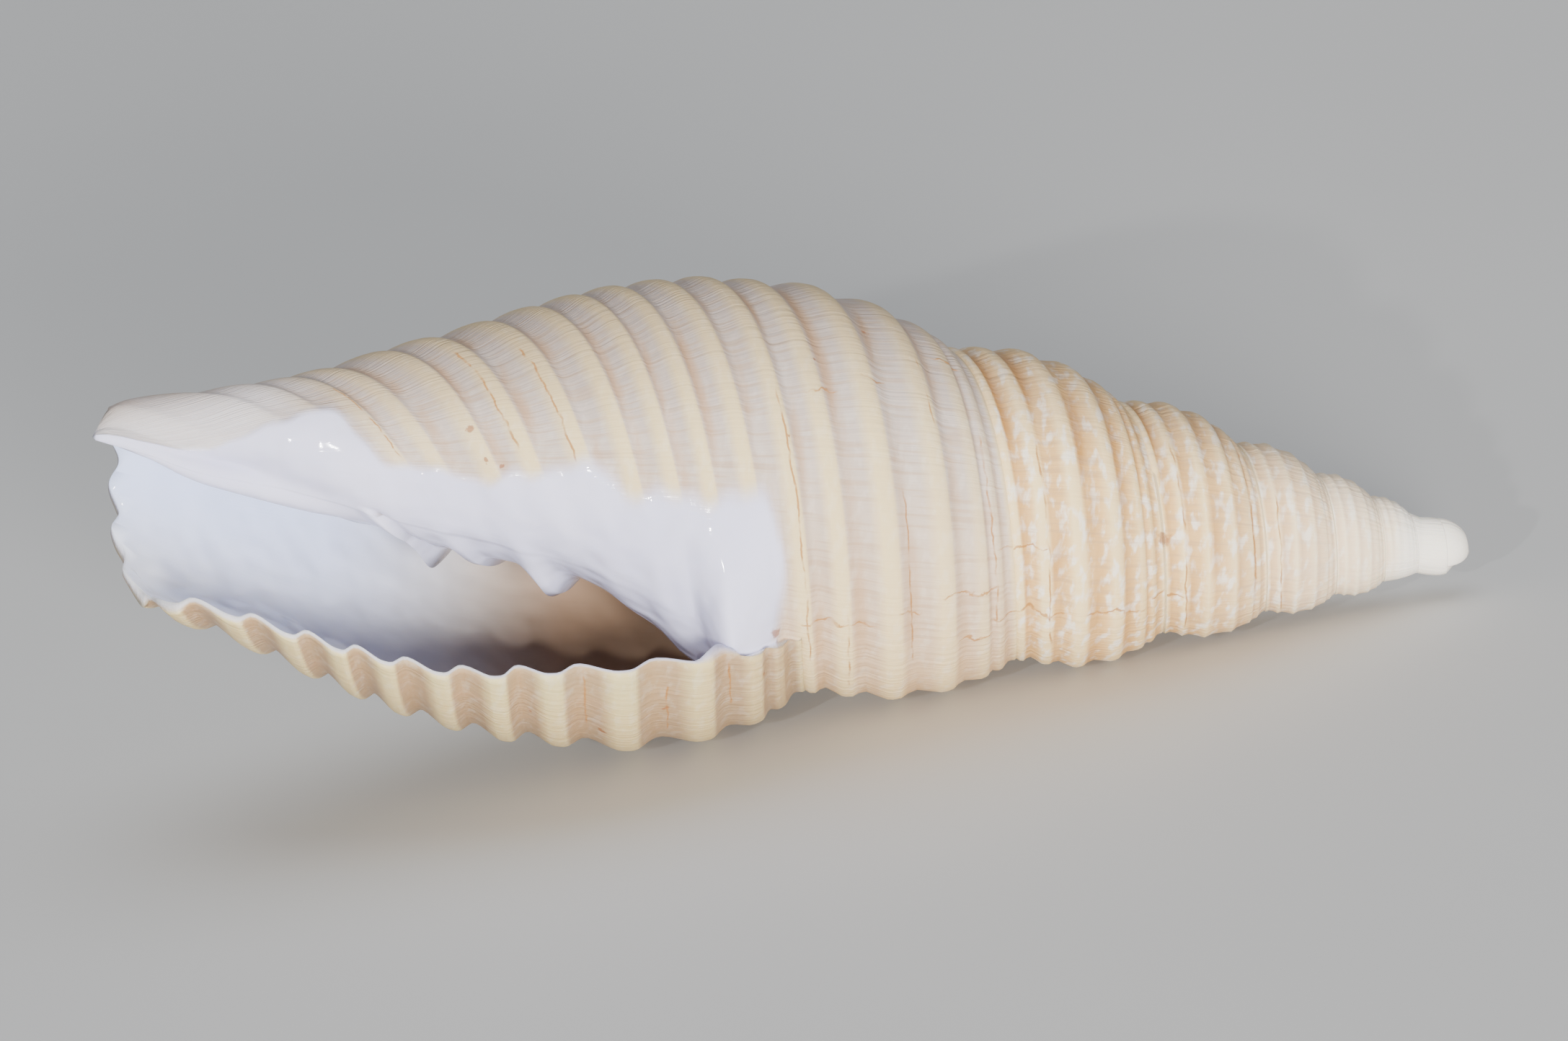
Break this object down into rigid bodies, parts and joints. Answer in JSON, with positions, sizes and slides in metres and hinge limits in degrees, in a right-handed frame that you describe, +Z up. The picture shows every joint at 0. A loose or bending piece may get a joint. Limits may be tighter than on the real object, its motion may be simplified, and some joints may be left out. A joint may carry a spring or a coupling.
{
  "type": "mitre seashell",
  "caption": "Slender spindle-shaped seashell with spiral cords, a long narrow aperture and folds on its pillar, lying on its flank.",
  "frame": {"origin": "centre of the bounding box at the level of the ground it lies on", "axes": "+Z up, +X towards the pointed apex, with the aperture facing between -Y and +Z"},
  "size_m": [0.0214, 0.0076, 0.0072],
  "materials": {
    "shell": "dull straw-coloured shell with paler cords, glossy bluish-white glaze beside and inside the aperture"
  },
  "bodies": {
    "root": {"shell": "shell"}
  },
  "joints": []
}
